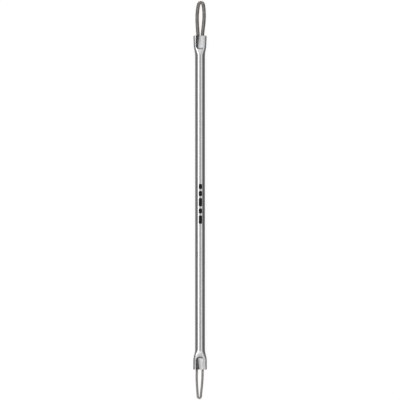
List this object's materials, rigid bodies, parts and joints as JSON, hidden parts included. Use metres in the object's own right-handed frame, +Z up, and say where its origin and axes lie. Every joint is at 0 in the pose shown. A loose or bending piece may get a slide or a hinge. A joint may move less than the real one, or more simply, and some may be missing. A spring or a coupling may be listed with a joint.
{
  "type": "double-ended wire loop modelling tool",
  "caption": "Slim bright metal tube handle, pressed flat at both ends over wound-wire loops, a thick loop at one end and a thin one at the other, for carving clay or wax.",
  "frame": {"origin": "centre of the bounding box's bottom face: halfway between the two loop tips, on the tool's middle line, on the surface it lies on", "axes": "the tool lies on its back: +Z up out of the pocketed front, +Y along the handle towards the thick loop, +X across"},
  "size_m": [0.007, 0.2044, 0.005],
  "materials": {
    "tube_metal": "polished tube, fine lengthwise marks, satin in the pressed pockets",
    "core_wire": "drawn steel wire",
    "winding_wire": "warm grey nickel wire, satin, ribbed across the loop",
    "printed_mark": "thin black printing ink"
  },
  "bodies": {
    "root": {"handle_tube": "tube_metal", "coarse_loop_core": "core_wire", "coarse_loop_inner_wrap": "winding_wire", "coarse_loop_outer_wrap": "winding_wire", "fine_loop_core": "core_wire", "fine_loop_wrap": "winding_wire"}
  },
  "joints": []
}
